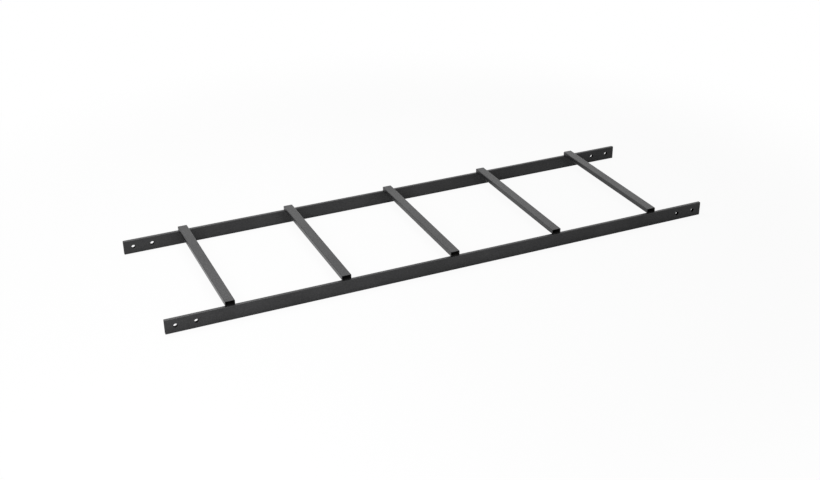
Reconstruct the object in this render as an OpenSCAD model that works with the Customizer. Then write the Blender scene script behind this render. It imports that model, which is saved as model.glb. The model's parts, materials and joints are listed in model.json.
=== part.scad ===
// Cable ladder section: two rectangular-tube stringers carry a row of
// rectangular-tube rungs. The rungs sit across the stringers' top edges and are
// welded underneath, in the corner against each stringer's inner face. Each
// stringer end is drilled through for the bolts of a splice.
//
// X runs along the section, Y across it, Z up. The origin is at the middle of
// the section's length and width, on the surface that the stringers stand on.

/* [Section] */
// Length of the section, over the stringer ends
section_length = 1524; // [600:1:3048]
// Width of the section, over the outer faces of the stringers
section_width = 457.2; // [150:0.1:914.4]

/* [Stringers] */
// Height of the stringer tube
stringer_height = 38.1; // [30:0.1:60]
// Thickness of the stringer tube, across the section
stringer_thickness = 9.525; // [8:0.005:20]
// Wall of the stringer tube
stringer_wall = 1.2; // [0.9:0.05:2]
// Outside radius of the stringer tube's rolled corners
stringer_corner = 1.8; // [1.2:0.1:3]

/* [Rungs] */
// Distance between the middles of neighbouring rungs
rung_spacing = 300; // [150:1:400]
// Least distance from an end of the section to the middle of a rung
least_rung_end_distance = 150; // [110:1:250]
// Width of the rung tube, along the section
rung_width = 25.4; // [18:0.1:50]
// Height of the rung tube
rung_height = 12.7; // [10:0.1:30]
// Wall of the rung tube
rung_wall = 1.2; // [0.9:0.05:2]
// Outside radius of the rung tube's rolled corners
rung_corner = 1.8; // [1.2:0.1:3]
// Distance from a stringer's outer face in to the end of a rung
rung_setback = 4.75; // [2.5:0.05:6]

/* [Splice bolt holes] */
// Diameter of the bolt holes
bolt_hole_diameter = 10.5; // [6:0.1:14]
// Distance from the end of a stringer to the middle of its first hole
bolt_hole_end_distance = 25.4; // [15:0.1:40]
// Distance between the middles of the two holes at one end of a stringer
bolt_hole_spacing = 50.8; // [25:0.1:60]

/* [Welds] */
// Reach of a weld along the rung's underside, from the stringer's inner face
weld_leg = 3.5; // [2:0.1:5]
// Bulge of a weld's face
weld_crown = 0.9; // [0.3:0.1:1.2]
// Distance from a rung's rolled corner to the end of its weld
weld_end_gap = 1.5; // [0.5:0.1:4]

/* [Hidden] */
$fn = 64;
// Cuts run this far past the faces that they break through
cut_margin = 1;
// Smallest radius that rolling leaves inside a tube's corner
least_inner_radius = 0.3;
rung_count = floor((section_length - 2 * least_rung_end_distance) / rung_spacing) + 1;
rung_row_length = (rung_count - 1) * rung_spacing;
rung_length = section_width - 2 * rung_setback;
stringer_inner_face = section_width / 2 - stringer_thickness;
weld_length = rung_width - 2 * (rung_corner + weld_end_gap);
weld_drop = stringer_corner + weld_leg;
weld_face = norm([weld_leg, weld_drop]);
weld_end_radius = 0.6 * weld_face;
tube_paint = [0.11, 0.11, 0.12];
weld_paint = [0.09, 0.09, 0.10];

function rung_place(i) = (i - 1) * rung_spacing - rung_row_length / 2;

// A rectangle with round corners, centred
module rounded_rectangle(size, radius) {
    square([size[0] - 2 * radius, size[1]], center = true);
    square([size[0], size[1] - 2 * radius], center = true);
    for (x = [-1, 1], y = [-1, 1])
        translate([x * (size[0] / 2 - radius), y * (size[1] / 2 - radius)])
            circle(radius);
}

// The section of a rectangular tube, centred
module tube_section(size, wall, corner) {
    hollow = [size[0] - 2 * wall, size[1] - 2 * wall];
    difference() {
        rounded_rectangle(size, corner);
        rounded_rectangle(hollow, max(corner - wall, least_inner_radius));
    }
}

// A tube along X with open ends, drilled through for its splice bolts
module stringer() {
    color(tube_paint)
        difference() {
            translate([-section_length / 2, 0, stringer_height / 2])
                rotate([90, 0, 90])
                    linear_extrude(section_length)
                        tube_section([stringer_thickness, stringer_height], stringer_wall, stringer_corner);
            for (end = [-1, 1], hole = [0, 1])
                translate([
                    end * (section_length / 2 - bolt_hole_end_distance - hole * bolt_hole_spacing),
                    0,
                    stringer_height / 2
                ])
                    rotate([90, 0, 0])
                        cylinder(h = stringer_thickness + 2 * cut_margin, d = bolt_hole_diameter, center = true);
        }
}

module stringer_left() {
    translate([0, stringer_inner_face + stringer_thickness / 2, 0])
        stringer();
}

module stringer_right() {
    mirror([0, 1, 0])
        stringer_left();
}

// A tube along Y that lies on both stringers
module rung(i) {
    color(tube_paint)
        translate([rung_place(i), rung_length / 2, stringer_height + rung_height / 2])
            rotate([90, 0, 0])
                linear_extrude(rung_length)
                    tube_section([rung_width, rung_height], rung_wall, rung_corner);
}

// The section of a weld. Its corner, where the rung's underside meets the line
// of the stringer's inner face, is at the origin, and the stringer is at the
// left. The weld follows the stringer's rolled edge halfway back to its root,
// and its face is an arc that bulges by weld_crown.
module weld_section() {
    root = stringer_corner / 2;
    face_radius = (pow(weld_face / 2, 2) + pow(weld_crown, 2)) / (2 * weld_crown);
    outward = [weld_drop, -weld_leg] / weld_face;
    difference() {
        intersection() {
            translate([-root, -weld_drop])
                square([root + weld_leg, weld_drop]);
            translate([weld_leg, -weld_drop] / 2 - (face_radius - weld_crown) * outward)
                circle(face_radius);
        }
        translate([-stringer_thickness, -stringer_height] / 2)
            rounded_rectangle([stringer_thickness, stringer_height], stringer_corner);
    }
}

// A slot-shaped block, seen square on to the weld's face, that rounds its ends
module weld_ends() {
    translate([0, weld_leg / 2, -weld_drop / 2])
        rotate([atan2(weld_drop, weld_leg), 0, 0])
            linear_extrude(4 * weld_face, center = true) {
                square([weld_length - 2 * weld_end_radius, 2 * weld_end_radius], center = true);
                for (end = [-1, 1])
                    translate([end * (weld_length / 2 - weld_end_radius), 0])
                        circle(weld_end_radius);
            }
}

// The weld under rung i, at the right stringer
module weld_right(i) {
    color(weld_paint)
        translate([rung_place(i), -stringer_inner_face, stringer_height])
            intersection() {
                translate([-weld_length / 2, 0, 0])
                    rotate([90, 0, 90])
                        linear_extrude(weld_length)
                            weld_section();
                weld_ends();
            }
}

module weld_left(i) {
    mirror([0, 1, 0])
        weld_right(i);
}

stringer_left();
stringer_right();
for (i = [1 : rung_count]) {
    rung(i);
    weld_left(i);
    weld_right(i);
}
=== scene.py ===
"""Dresses the cable ladder section: drilled tubes, rippled welds, black powder coat and a plain studio."""

import json
from math import radians, sin

import bmesh
import bpy
from bpy.props import FloatProperty, FloatVectorProperty, IntProperty, PointerProperty
from mathutils import Matrix, Vector


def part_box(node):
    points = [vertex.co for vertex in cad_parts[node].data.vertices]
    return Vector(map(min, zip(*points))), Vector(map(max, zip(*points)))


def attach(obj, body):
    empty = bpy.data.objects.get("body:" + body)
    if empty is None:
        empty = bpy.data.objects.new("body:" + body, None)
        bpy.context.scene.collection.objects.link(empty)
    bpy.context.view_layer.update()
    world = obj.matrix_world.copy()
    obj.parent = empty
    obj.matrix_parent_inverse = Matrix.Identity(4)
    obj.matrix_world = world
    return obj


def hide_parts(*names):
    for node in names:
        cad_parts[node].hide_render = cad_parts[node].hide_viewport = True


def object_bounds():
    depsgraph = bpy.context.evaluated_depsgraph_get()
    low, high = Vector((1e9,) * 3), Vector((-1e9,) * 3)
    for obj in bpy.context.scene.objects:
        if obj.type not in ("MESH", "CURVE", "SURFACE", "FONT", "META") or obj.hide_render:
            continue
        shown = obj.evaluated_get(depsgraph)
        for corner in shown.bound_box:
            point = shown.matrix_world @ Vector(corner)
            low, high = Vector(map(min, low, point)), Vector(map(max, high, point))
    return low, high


bl_info = {
    "name": "Cable ladder section",
    "version": (1, 0, 0),
    "blender": (4, 5, 0),
    "location": "3D View > Sidebar > Cable ladder",
    "description": "Models the tubes, the welds and the studio of a cable ladder section",
    "category": "Object",
}

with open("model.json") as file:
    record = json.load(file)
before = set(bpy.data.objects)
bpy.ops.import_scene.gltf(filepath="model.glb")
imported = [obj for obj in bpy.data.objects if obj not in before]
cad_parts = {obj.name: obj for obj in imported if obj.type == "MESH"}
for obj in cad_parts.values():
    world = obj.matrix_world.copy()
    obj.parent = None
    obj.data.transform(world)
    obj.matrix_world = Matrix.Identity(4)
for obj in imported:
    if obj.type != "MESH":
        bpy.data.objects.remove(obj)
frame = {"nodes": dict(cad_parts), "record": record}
cad_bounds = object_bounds()

BODY = "root"
MILLIMETRE = 0.001
# Two places closer than this are taken as one
TOUCH = 0.02 * MILLIMETRE
QUARTER_TURN = radians(90)
# The axes' places in a vector
X, Y, Z = 0, 1, 2

# Flats that make up one rounded edge, and the bevel profile that follows a circle
EDGE_SEGMENTS = 3
ROUND_PROFILE = 0.5
# Edges that turn by less than these angles are shaded smooth
TUBE_SMOOTH_ANGLE = radians(40)
WELD_SMOOTH_ANGLE = radians(50)
# Say of the large faces in the shading beside them, where 50 is neutral and 100 is the most
LARGE_FACE_WEIGHT = 80
# A vertex that lies deeper in a tube than this share of its wall is in the bore
BORE_DEPTH = 0.8

# Flats round one ripple of a weld
RIPPLE_SEGMENTS = 32
# Distance from a weld's end to the middle of its first ripple, in half lengths of a ripple
RIPPLE_INSET = 1.1
# Step from one ripple to the next along the wave that varies their sizes, in radians
RIPPLE_WAVE_STEP = 2.3

# Depths of the powder coat's orange peel and of its fine pebble, in metres
PEEL_DEPTH = 0.0002
PEBBLE_DEPTH = 0.00007
# Shares of their colour that the darkest and the lightest stretches of coat and bore show
COAT_SHADES = (0.75, 1.3)
BORE_SHADES = (0.7, 1.4)
# Places of a Mix node's two colour inputs and of its colour output
MIX_FIRST, MIX_SECOND, MIX_RESULT = 6, 7, 2

# Share of even white in the floor near the section, where the rest of it shows the shadow
NEAR_GLOW = 0.93
# Distances from the section's middle at which the floor starts and ends its rise to full white
GLOW_START, GLOW_END = 0.9, 1.7
# Share of even white that reflections see in the floor
SHEEN_GLOW = 0.1
OVERHEAD_LAMP = {"place": (-0.6, 0.5, 1.7), "aim": (-0.35, 0, 0), "width": 1.6, "height": 1.4}
FRONT_LAMP = {"place": (-1.5, -1.6, 1.1), "aim": (-0.7, -0.4, 0), "width": 0.9, "height": 0.7}
# Farthest thing that the camera sees, in metres
FARTHEST_VIEW = 100


# ---------------------------------------------------------------- settings

class TubeSettings(bpy.types.PropertyGroup):
    """Sizes that the stringer tubes and the rung tubes share."""

    wall: FloatProperty(
        name="Wall", description="Wall thickness of the tubes",
        default=0.0012, min=0.0009, max=0.002, subtype="DISTANCE", unit="LENGTH")
    corner: FloatProperty(
        name="Corner", description="Outside radius of the tubes' rolled corners",
        default=0.0018, min=0.0013, max=0.003, subtype="DISTANCE", unit="LENGTH")
    corner_segments: IntProperty(
        name="Corner segments", description="Flats that make up one rolled corner", default=8, min=2, max=16)
    edge_round: FloatProperty(
        name="Edge rounding", description="Width of the rounded edge at tube ends and hole rims",
        default=0.0003, min=0.0001, max=0.0005, subtype="DISTANCE", unit="LENGTH")
    hole_segments: IntProperty(
        name="Hole segments", description="Flats round one bolt hole", default=64, min=16, max=128)


class WeldSettings(bpy.types.PropertyGroup):
    """Sizes of the weld beads."""

    ripples: IntProperty(name="Ripples", description="Ripples along one weld", default=9, min=4, max=16)
    unevenness: FloatProperty(
        name="Unevenness", description="How much the ripples differ in size", default=0.05, min=0, max=0.15,
        subtype="FACTOR")
    slant: FloatProperty(
        name="Slant", description="Lean of the ripples along the weld", default=radians(16),
        min=0, max=radians(40), subtype="ANGLE", unit="ROTATION")
    grain: FloatProperty(
        name="Grain", description="Size of the mesh grain that melts the ripples together",
        default=0.00025, min=0.0002, max=0.001, subtype="DISTANCE", unit="LENGTH")


class FinishSettings(bpy.types.PropertyGroup):
    """Colours of the powder coat and of the bare steel in the bores, which is darkened there to near black as
    painted shade.
    """

    stringer_colour: FloatVectorProperty(
        name="Stringer colour", description="Powder coat of the stringers",
        default=(0.014, 0.014, 0.015), min=0, max=1, subtype="COLOR")
    rung_colour: FloatVectorProperty(
        name="Rung colour", description="Powder coat of the rungs",
        default=(0.015, 0.015, 0.016), min=0, max=1, subtype="COLOR")
    weld_colour: FloatVectorProperty(
        name="Weld colour", description="Powder coat over the welds",
        default=(0.013, 0.013, 0.014), min=0, max=1, subtype="COLOR")
    # The bore colour is dull steel, darkened further to near black as painted shade deep in the tubes
    bore_steel_and_shade_colour: FloatVectorProperty(
        name="Bore colour", description="Dull steel inside the tubes, where no coat reaches",
        default=(0.005, 0.0048, 0.0045), min=0, max=1, subtype="COLOR")


class StudioSettings(bpy.types.PropertyGroup):
    """Camera, floor and lamps."""

    camera_place: FloatVectorProperty(
        name="Camera place", description="Where the camera stands",
        default=(-1.214, -2.685, 1.486), subtype="TRANSLATION", unit="LENGTH")
    camera_aim: FloatVectorProperty(
        name="Camera aim", description="Point that the camera looks at",
        default=(-0.0587, -0.0697, 0.025), subtype="TRANSLATION", unit="LENGTH")
    camera_roll: FloatProperty(
        name="Camera roll", description="Turn of the camera about its line of sight",
        default=radians(-0.64), subtype="ANGLE", unit="ROTATION")
    lens: FloatProperty(name="Lens", description="Focal length in millimetres", default=52.8, min=20, max=200)
    floor_size: FloatProperty(
        name="Floor size", description="Length of the floor's side", default=40, min=5, max=100,
        subtype="DISTANCE", unit="LENGTH")
    floor_colour: FloatVectorProperty(
        name="Floor colour", description="Studio floor",
        default=(0.82, 0.82, 0.82), min=0, max=1, subtype="COLOR")
    surround: FloatProperty(
        name="Surround light", description="Strength of the even light from all sides",
        default=0.18, min=0, max=2)
    overhead_power: FloatProperty(
        name="Overhead lamp", description="Power of the lamp above the section", default=24, min=0, max=200,
        subtype="POWER", unit="POWER")
    front_power: FloatProperty(
        name="Front lamp", description="Power of the lamp in front, at the left", default=30, min=0, max=200,
        subtype="POWER", unit="POWER")


# ---------------------------------------------------------------- sizes from the frame

def nodes_named(start):
    """The frame's nodes whose names start with a word, in order."""
    return sorted(name for name in frame["nodes"] if name.startswith(start))


def splice_holes(stringer):
    """Centre and radius of each splice bolt hole of a stringer."""
    low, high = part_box(stringer)
    holes = []
    for mount in frame["record"]["mounts"]:
        place = Vector(mount["pos_m"])
        if mount["kind"] != "bolt_pattern" or not low.y - TOUCH < place.y < high.y + TOUCH:
            continue
        half_spacing = mount["dims"]["spacing_x_mm"] * MILLIMETRE / 2
        radius = mount["dims"]["hole_r_mm"] * MILLIMETRE
        for side in (-1, 1):
            centre = Vector((place.x + side * half_spacing, (low.y + high.y) / 2, place.z))
            holes.append((centre, radius))
    return holes


# ---------------------------------------------------------------- modelling steps

def drop_selection():
    """Goes back to object mode with nothing selected."""
    if bpy.context.object and bpy.context.object.mode != "OBJECT":
        bpy.ops.object.mode_set(mode="OBJECT")
    bpy.ops.object.select_all(action="DESELECT")


def work_on(*pieces):
    """Selects some pieces alone and makes the first of them the active one."""
    drop_selection()
    for piece in pieces:
        piece.select_set(True)
    bpy.context.view_layer.objects.active = pieces[0]


def settle(piece):
    """Moves a piece's place, turn and scale into its mesh."""
    work_on(piece)
    bpy.ops.object.transform_apply(location=True, rotation=True, scale=True)


def rename(piece, name):
    """Names a piece and its mesh."""
    piece.name = name
    piece.data.name = name


def apply_modifier(piece, kind, **settings):
    """Adds a modifier to a piece and applies it."""
    work_on(piece)
    modifier = piece.modifiers.new(kind.title(), kind)
    for name, value in settings.items():
        setattr(modifier, name, value)
    bpy.ops.object.modifier_apply(modifier=modifier.name)


def cut_with(piece, cutter, operation):
    """Cuts a piece with another, which is used up."""
    apply_modifier(piece, "BOOLEAN", object=cutter, operation=operation, solver="EXACT")
    bpy.data.objects.remove(cutter)


def joined(pieces):
    """Joins pieces into the first of them."""
    work_on(*pieces)
    bpy.ops.object.join()
    return bpy.context.object


def face_outwards(piece):
    """Turns a closed piece's faces outwards."""
    work_on(piece)
    bpy.ops.object.mode_set(mode="EDIT")
    bpy.ops.mesh.select_all(action="SELECT")
    bpy.ops.mesh.normals_make_consistent(inside=False)
    bpy.ops.object.mode_set(mode="OBJECT")


def copy_of(piece, name, shift):
    """A copy of a piece with its own mesh, moved by a vector."""
    copy = piece.copy()
    copy.data = piece.data.copy()
    rename(copy, name)
    bpy.context.collection.objects.link(copy)
    copy.location = shift
    settle(copy)
    return copy


def dress(piece, node, material):
    """Gives a piece its material and its slot, hangs it on the body and hides the CAD node that it replaces.
    """
    piece.data.materials.clear()
    piece.data.materials.append(material)
    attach(piece, BODY)
    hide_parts(node)


# ---------------------------------------------------------------- tubes

def tube(name, length, width, height, sizes):
    """A rectangular tube with rolled corners and open ends, along X and centred on the origin."""
    drop_selection()
    bpy.ops.mesh.primitive_plane_add(size=1, location=(-length / 2, 0, 0), rotation=(0, QUARTER_TURN, 0))
    piece = bpy.context.object
    rename(piece, name)
    piece.scale = (height, width, 1)
    settle(piece)
    bpy.ops.object.mode_set(mode="EDIT")
    bpy.ops.mesh.select_all(action="SELECT")
    bpy.ops.mesh.bevel(
        offset=sizes.corner, segments=sizes.corner_segments, profile=ROUND_PROFILE,
        affect="VERTICES", clamp_overlap=False)
    bpy.ops.mesh.select_mode(type="FACE")
    bpy.ops.mesh.select_all(action="SELECT")
    bpy.ops.mesh.inset(thickness=sizes.wall, use_even_offset=True)
    bpy.ops.mesh.delete(type="FACE")
    bpy.ops.mesh.select_all(action="SELECT")
    bpy.ops.mesh.extrude_region_move(TRANSFORM_OT_translate={"value": (length, 0, 0)})
    bpy.ops.object.mode_set(mode="OBJECT")
    face_outwards(piece)
    return piece


def drill(piece, holes, depth, segments):
    """Drills round holes along Y through a piece."""
    drills = []
    for centre, radius in holes:
        drop_selection()
        bpy.ops.mesh.primitive_cylinder_add(
            vertices=segments, radius=radius, depth=depth, location=centre, rotation=(QUARTER_TURN, 0, 0))
        drills.append(bpy.context.object)
    cut_with(piece, joined(drills), "DIFFERENCE")


def at_ends(axis, low, high):
    """A test for edges that lie in one of a tube's two end planes."""
    def wanted(first, second):
        return any(abs(first[axis] - end) < TOUCH and abs(second[axis] - end) < TOUCH for end in (low, high))
    return wanted


def on_rims(holes, low, high):
    """A test for edges that are part of a hole's rim, on either outer side of a tube."""
    def on_rim(place, centre, radius):
        return abs(Vector((place.x - centre.x, place.z - centre.z)).length - radius) < TOUCH

    def wanted(first, second):
        if not any(abs(first.y - side) < TOUCH and abs(second.y - side) < TOUCH for side in (low, high)):
            return False
        return any(on_rim(first, *hole) and on_rim(second, *hole) for hole in holes)
    return wanted


def round_edges(piece, wanted, width):
    """Rounds the edges whose two ends pass a test together, as a coat of paint does."""
    work_on(piece)
    bpy.ops.object.mode_set(mode="EDIT")
    bpy.ops.mesh.select_mode(type="EDGE")
    bpy.ops.mesh.select_all(action="DESELECT")
    mesh = bmesh.from_edit_mesh(piece.data)
    for edge in mesh.edges:
        if wanted(edge.verts[0].co, edge.verts[1].co):
            edge.select_set(True)
    bmesh.update_edit_mesh(piece.data)
    bpy.ops.mesh.bevel(
        offset=width, segments=EDGE_SEGMENTS, profile=ROUND_PROFILE, affect="EDGES", clamp_overlap=False)
    bpy.ops.object.mode_set(mode="OBJECT")


def mark_bore(piece, across, middle, half_size, wall):
    """Stores on each vertex of a tube whether it lies in the bore: 1 in it, 0 outside it."""
    mark = piece.data.attributes.new("bore", "FLOAT", "POINT")
    for i, vertex in enumerate(piece.data.vertices):
        depth = min(half_size[axis] - abs(vertex.co[axis] - middle[axis]) for axis in across)
        mark.data[i].value = float(depth > BORE_DEPTH * wall)


def shade(piece, angle):
    """Shades rolled and rounded stretches smooth, and keeps flat faces flat."""
    work_on(piece)
    bpy.ops.object.shade_smooth_by_angle(angle=angle, keep_sharp_edges=True)
    apply_modifier(
        piece, "WEIGHTED_NORMAL", mode="FACE_AREA_WITH_ANGLE", weight=LARGE_FACE_WEIGHT, keep_sharp=True)


def stringer_tube(sizes):
    """The left stringer's tube, drilled for its splice bolts."""
    node = "stringer_left"
    low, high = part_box(node)
    middle, size = (low + high) / 2, high - low
    holes = splice_holes(node)
    piece = tube("stringer_left_tube", size.x, size.y, size.z, sizes)
    piece.location = middle
    settle(piece)
    drill(piece, holes, 2 * size.y, sizes.hole_segments)
    round_edges(piece, at_ends(X, low.x, high.x), sizes.edge_round)
    round_edges(piece, on_rims(holes, low.y, high.y), sizes.edge_round)
    mark_bore(piece, (Y, Z), middle, size / 2, sizes.wall)
    shade(piece, TUBE_SMOOTH_ANGLE)
    return piece


def rung_tube(sizes):
    """The first rung's tube."""
    low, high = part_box("rung_1")
    middle, size = (low + high) / 2, high - low
    piece = tube("rung_1_tube", size.y, size.x, size.z, sizes)
    piece.rotation_euler = (0, 0, QUARTER_TURN)
    piece.location = middle
    settle(piece)
    round_edges(piece, at_ends(Y, low.y, high.y), sizes.edge_round)
    mark_bore(piece, (X, Z), middle, size / 2, sizes.wall)
    shade(piece, TUBE_SMOOTH_ANGLE)
    return piece


# ---------------------------------------------------------------- welds

def weld_bead(sizes):
    """The weld of rung 1 at the right stringer: slanting ripples, melted together and set in their corner."""
    low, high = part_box("weld_right_1")
    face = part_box("stringer_right")[1].y
    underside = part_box("rung_1")[0].z
    reach = (high.x - low.x) / sizes.ripples
    pitch = (high.x - low.x - 2 * RIPPLE_INSET * reach) / (sizes.ripples - 1)
    ripples = []
    for i in range(sizes.ripples):
        swell = 1 + sizes.unevenness * (sin(RIPPLE_WAVE_STEP * i) - 1)
        place = (low.x + RIPPLE_INSET * reach + i * pitch, face, underside)
        drop_selection()
        bpy.ops.mesh.primitive_uv_sphere_add(
            segments=RIPPLE_SEGMENTS, ring_count=RIPPLE_SEGMENTS // 2, radius=1, location=place)
        ripple = bpy.context.object
        ripple.scale = (reach, swell * (high.y - face), swell * (underside - low.z))
        ripple.rotation_euler = (0, sizes.slant, 0)
        settle(ripple)
        ripples.append(ripple)
    piece = joined(ripples)
    rename(piece, "weld_right_1_bead")
    apply_modifier(piece, "REMESH", mode="VOXEL", voxel_size=sizes.grain)
    apply_modifier(piece, "SMOOTH", factor=0.5, iterations=1)
    drop_selection()
    bpy.ops.mesh.primitive_cube_add(size=1, location=(low + high) / 2, scale=high - low)
    cut_with(piece, bpy.context.object, "INTERSECT")
    shade(piece, WELD_SMOOTH_ANGLE)
    return piece


def mirrored(piece, name):
    """A copy of a piece, mirrored across the section's middle."""
    copy = copy_of(piece, name, Vector())
    copy.scale = (1, -1, 1)
    settle(copy)
    face_outwards(copy)
    return copy


# ---------------------------------------------------------------- shader maths

class Signal:
    """An output socket of a node. Python's operators on it add Math nodes."""

    def __init__(self, graph, socket):
        self.graph = graph
        self.socket = socket

    def maths(self, operation, first, second):
        """A Math node's result."""
        return self.graph.node("ShaderNodeMath", {"operation": operation}, {0: first, 1: second})

    def __add__(self, other):
        return self.maths("ADD", self, other)

    __radd__ = __add__

    def __sub__(self, other):
        return self.maths("SUBTRACT", self, other)

    def __rsub__(self, other):
        return self.maths("SUBTRACT", other, self)

    def __mul__(self, other):
        return self.maths("MULTIPLY", self, other)

    __rmul__ = __mul__

    def clipped(self):
        """The signal, kept between 0 and 1."""
        return self.graph.node("ShaderNodeClamp", {}, {"Value": self})


class Graph:
    """A node tree under construction."""

    def __init__(self, owner):
        owner.use_nodes = True
        self.tree = owner.node_tree
        self.tree.nodes.clear()

    def node(self, kind, settings=None, inputs=None, output=0):
        """Adds a node with its settings, then its sockets' values or links, and gives one of its outputs."""
        made = self.tree.nodes.new(kind)
        for name, value in (settings or {}).items():
            setattr(made, name, value)
        for name, value in (inputs or {}).items():
            if isinstance(value, Signal):
                self.tree.links.new(value.socket, made.inputs[name])
            else:
                made.inputs[name].default_value = value
        return Signal(self, made.outputs[output]) if made.outputs else None

    def noise(self, place, scale, detail, roughness):
        """A cloudy pattern that swings about 0."""
        inputs = {"Vector": place, "Scale": scale, "Detail": detail, "Roughness": roughness}
        return self.node("ShaderNodeTexNoise", {}, inputs) - 0.5

    def blend(self, share, first, second):
        """A colour between two colours."""
        inputs = {"Factor": share, MIX_FIRST: (*first, 1), MIX_SECOND: (*second, 1)}
        return self.node("ShaderNodeMix", {"data_type": "RGBA"}, inputs, output=MIX_RESULT)

    def bump(self, height, distance, under=None):
        """A surface relief, in metres, on top of another one."""
        inputs = {"Strength": 1, "Distance": distance, "Height": height}
        if under:
            inputs["Normal"] = under
        return self.node("ShaderNodeBump", {}, inputs)

    def rays(self, kind):
        """1 for the light paths of a kind, such as Camera or Glossy, and 0 for the others."""
        return self.node("ShaderNodeLightPath", output=f"Is {kind} Ray")


def new_graph(name):
    """A new material, with its empty node tree."""
    material = bpy.data.materials.new(name)
    return material, Graph(material)


# ---------------------------------------------------------------- finishes

def shades(colour, shares):
    """The darkest and the lightest shade of a colour."""
    return [share * Vector(colour) for share in shares]


def powder_coat(name, colour, bore_steel_and_shade_colour, grain):
    """Satin black powder coat with an orange peel, a fine pebble and a slight unevenness of tone and gloss.

    The bores of the tubes show dull steel, because the powder doesn't reach into them. Its near-black colour
    also paints the shade deep in the tubes.
    """
    material, graph = new_graph(name)
    place = graph.node("ShaderNodeTexCoord", output="Object")
    cloud = graph.noise(place, scale=11, detail=3, roughness=0.55)
    fleck = graph.noise(place, scale=330, detail=3, roughness=0.65)
    peel = graph.noise(place, scale=420, detail=2, roughness=0.5)
    pebble = graph.noise(place, scale=1300, detail=2, roughness=0.5)
    tone = (0.8 * cloud + 0.8 * grain * fleck + 0.5).clipped()
    relief = graph.bump(pebble, PEBBLE_DEPTH * grain, under=graph.bump(peel, PEEL_DEPTH))
    coat = graph.node("ShaderNodeBsdfPrincipled", {}, {
        "Base Color": graph.blend(tone, *shades(colour, COAT_SHADES)),
        "Roughness": 0.1 * cloud + 0.2 * pebble + 0.32,
        "Specular IOR Level": 0.3,
        "Coat Weight": (0.4 * cloud + 1.1 * grain * fleck + 0.3).clipped(),
        "Coat Roughness": 0.26,
        "Normal": relief,
    })
    # Bare steel in the bores, whose near-black colour is partly painted shade deep in the tubes
    steel = graph.node("ShaderNodeBsdfPrincipled", {}, {
        "Base Color": graph.blend((cloud + 0.5).clipped(), *shades(bore_steel_and_shade_colour, BORE_SHADES)),
        "Roughness": 0.9,
        "Specular IOR Level": 0.1,
    })
    bore = graph.node("ShaderNodeAttribute", {"attribute_name": "bore"}, output="Fac")
    surface = graph.node("ShaderNodeMixShader", {}, {0: bore, 1: coat, 2: steel})
    graph.node("ShaderNodeOutputMaterial", {}, {"Surface": surface})
    return material


def studio_floor(colour):
    """A pale floor that shows white to the camera, keeps a soft shadow, and lends reflections some white."""
    material, graph = new_graph("studio_floor")
    place = graph.node("ShaderNodeTexCoord", output="Object")
    reach = graph.node("ShaderNodeVectorMath", {"operation": "LENGTH"}, {0: place}, output="Value")
    lift = graph.node("ShaderNodeMapRange", {"interpolation_type": "SMOOTHSTEP"}, {
        "Value": reach, "From Min": GLOW_START, "From Max": GLOW_END, "To Min": NEAR_GLOW, "To Max": 1.0})
    camera_rays = graph.rays("Camera")
    glass_rays = graph.rays("Transmission")
    sheen_rays = graph.rays("Glossy")
    share = ((camera_rays + glass_rays) * lift + SHEEN_GLOW * sheen_rays).clipped()
    matt = graph.node("ShaderNodeBsdfDiffuse", {}, {"Color": (*colour, 1)})
    glow = graph.node("ShaderNodeEmission", {}, {"Strength": 1})
    surface = graph.node("ShaderNodeMixShader", {}, {0: share, 1: matt, 2: glow})
    graph.node("ShaderNodeOutputMaterial", {}, {"Surface": surface})
    return material


def surround(strength):
    """Even light from all sides, behind a backdrop that shows white to the camera and in reflections."""
    world = bpy.data.worlds.new("surround")
    bpy.context.scene.world = world
    graph = Graph(world)
    camera_rays = graph.rays("Camera")
    glass_rays = graph.rays("Transmission")
    sheen_rays = graph.rays("Glossy")
    light = graph.node("ShaderNodeBackground", {}, {"Color": (1, 1, 1, 1), "Strength": strength})
    backdrop = graph.node("ShaderNodeBackground", {}, {"Color": (1, 1, 1, 1), "Strength": 1})
    share = (camera_rays + glass_rays + sheen_rays).clipped()
    surface = graph.node("ShaderNodeMixShader", {}, {0: share, 1: light, 2: backdrop})
    graph.node("ShaderNodeOutputWorld", {}, {"Surface": surface})


# ---------------------------------------------------------------- studio

def turned_towards(place, aim):
    """The turn that points a lamp or a camera from its place at a point."""
    return (Vector(aim) - Vector(place)).to_track_quat("-Z", "Y").to_matrix().to_4x4()


def lamp(name, place, aim, width, height, power):
    """A soft rectangular lamp that faces a point."""
    light = bpy.data.lights.new(name, "AREA")
    light.shape = "RECTANGLE"
    light.size = width
    light.size_y = height
    light.energy = power
    stand = bpy.data.objects.new(name, light)
    bpy.context.collection.objects.link(stand)
    stand.matrix_world = Matrix.Translation(place) @ turned_towards(place, aim)
    stand.visible_camera = False


def camera(settings):
    """The camera, turned about its line of sight by its roll."""
    body = bpy.data.cameras.new("camera")
    body.lens = settings.lens
    body.clip_end = FARTHEST_VIEW
    stand = bpy.data.objects.new("camera", body)
    bpy.context.collection.objects.link(stand)
    turn = turned_towards(settings.camera_place, settings.camera_aim)
    roll = Matrix.Rotation(settings.camera_roll, 4, "Z")
    stand.matrix_world = Matrix.Translation(settings.camera_place) @ turn @ roll
    bpy.context.scene.camera = stand


# ---------------------------------------------------------------- operators

class LADDER_OT_stringers(bpy.types.Operator):
    """Model both stringer tubes"""
    bl_idname = "ladder.stringers"
    bl_label = "Stringers"

    def execute(self, context):
        finish = context.scene.ladder_finish
        paint = powder_coat("stringer_powder_coat", finish.stringer_colour, finish.bore_steel_and_shade_colour, grain=0.9)
        left = stringer_tube(context.scene.ladder_tube)
        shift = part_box("stringer_right")[0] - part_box("stringer_left")[0]
        right = copy_of(left, "stringer_right_tube", shift)
        dress(left, "stringer_left", paint)
        dress(right, "stringer_right", paint)
        return {"FINISHED"}


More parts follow.
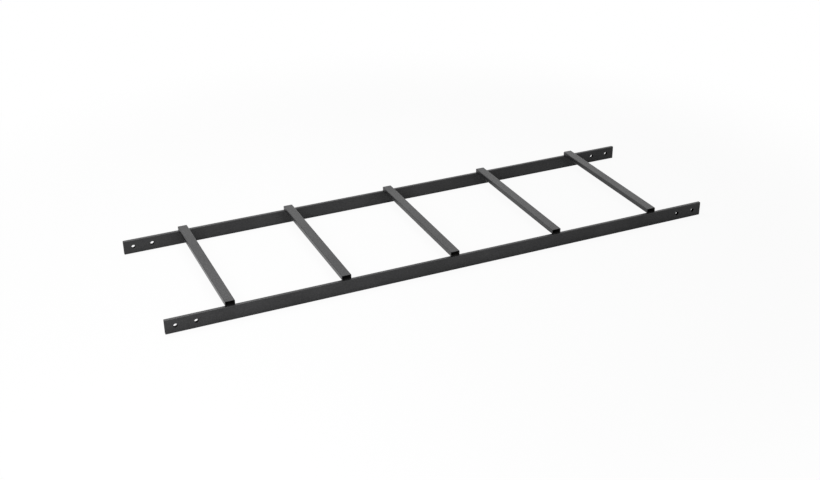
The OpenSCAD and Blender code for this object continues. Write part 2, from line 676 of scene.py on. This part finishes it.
class LADDER_OT_rungs(bpy.types.Operator):
    """Model all the rung tubes"""
    bl_idname = "ladder.rungs"
    bl_label = "Rungs"

    def execute(self, context):
        finish = context.scene.ladder_finish
        paint = powder_coat("rung_powder_coat", finish.rung_colour, finish.bore_steel_and_shade_colour, grain=1)
        first = rung_tube(context.scene.ladder_tube)
        dress(first, "rung_1", paint)
        for node in nodes_named("rung_")[1:]:
            rung = copy_of(first, node + "_tube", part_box(node)[0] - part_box("rung_1")[0])
            dress(rung, node, paint)
        return {"FINISHED"}


class LADDER_OT_welds(bpy.types.Operator):
    """Model the weld beads under the rungs"""
    bl_idname = "ladder.welds"
    bl_label = "Welds"

    def execute(self, context):
        finish = context.scene.ladder_finish
        paint = powder_coat("weld_powder_coat", finish.weld_colour, finish.bore_steel_and_shade_colour, grain=0.7)
        right = weld_bead(context.scene.ladder_weld)
        left = mirrored(right, "weld_left_1_bead")
        for first, side in ((left, "weld_left_"), (right, "weld_right_")):
            dress(first, side + "1", paint)
            for node in nodes_named(side)[1:]:
                bead = copy_of(first, node + "_bead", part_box(node)[0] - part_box(side + "1")[0])
                dress(bead, node, paint)
        return {"FINISHED"}


class LADDER_OT_studio(bpy.types.Operator):
    """Set up the floor, the lamps and the camera"""
    bl_idname = "ladder.studio"
    bl_label = "Studio"

    def execute(self, context):
        studio = context.scene.ladder_studio
        drop_selection()
        bpy.ops.mesh.primitive_plane_add(size=studio.floor_size, location=(0, 0, cad_bounds[0].z - TOUCH))
        floor = bpy.context.object
        rename(floor, "floor")
        settle(floor)
        floor.data.materials.append(studio_floor(studio.floor_colour))
        surround(studio.surround)
        lamp("overhead_lamp", power=studio.overhead_power, **OVERHEAD_LAMP)
        lamp("front_lamp", power=studio.front_power, **FRONT_LAMP)
        camera(studio)
        context.scene.view_settings.view_transform = "Standard"
        return {"FINISHED"}


class LADDER_PT_panel(bpy.types.Panel):
    """The settings and the steps, in order"""
    bl_idname = "LADDER_PT_panel"
    bl_label = "Cable ladder"
    bl_space_type = "VIEW_3D"
    bl_region_type = "UI"
    bl_category = "Cable ladder"

    def draw(self, context):
        for name, group in GROUPS.items():
            box = self.layout.box()
            for setting in group.__annotations__:
                box.prop(getattr(context.scene, name), setting)
        for operator in OPERATORS:
            self.layout.operator(operator.bl_idname)


GROUPS = {
    "ladder_tube": TubeSettings,
    "ladder_weld": WeldSettings,
    "ladder_finish": FinishSettings,
    "ladder_studio": StudioSettings,
}
OPERATORS = (LADDER_OT_stringers, LADDER_OT_rungs, LADDER_OT_welds, LADDER_OT_studio)


def register():
    """Adds the settings, the steps and the panel to Blender."""
    for name, group in GROUPS.items():
        bpy.utils.register_class(group)
        setattr(bpy.types.Scene, name, PointerProperty(type=group))
    for operator in OPERATORS:
        bpy.utils.register_class(operator)
    bpy.utils.register_class(LADDER_PT_panel)


def unregister():
    """Takes the panel, the steps and the settings out of Blender."""
    bpy.utils.unregister_class(LADDER_PT_panel)
    for operator in reversed(OPERATORS):
        bpy.utils.unregister_class(operator)
    for name, group in reversed(GROUPS.items()):
        delattr(bpy.types.Scene, name)
        bpy.utils.unregister_class(group)


def main():
    """Builds the whole scene."""
    register()
    bpy.ops.ladder.stringers()
    bpy.ops.ladder.rungs()
    bpy.ops.ladder.welds()
    bpy.ops.ladder.studio()


if __name__ == "__main__":
    main()
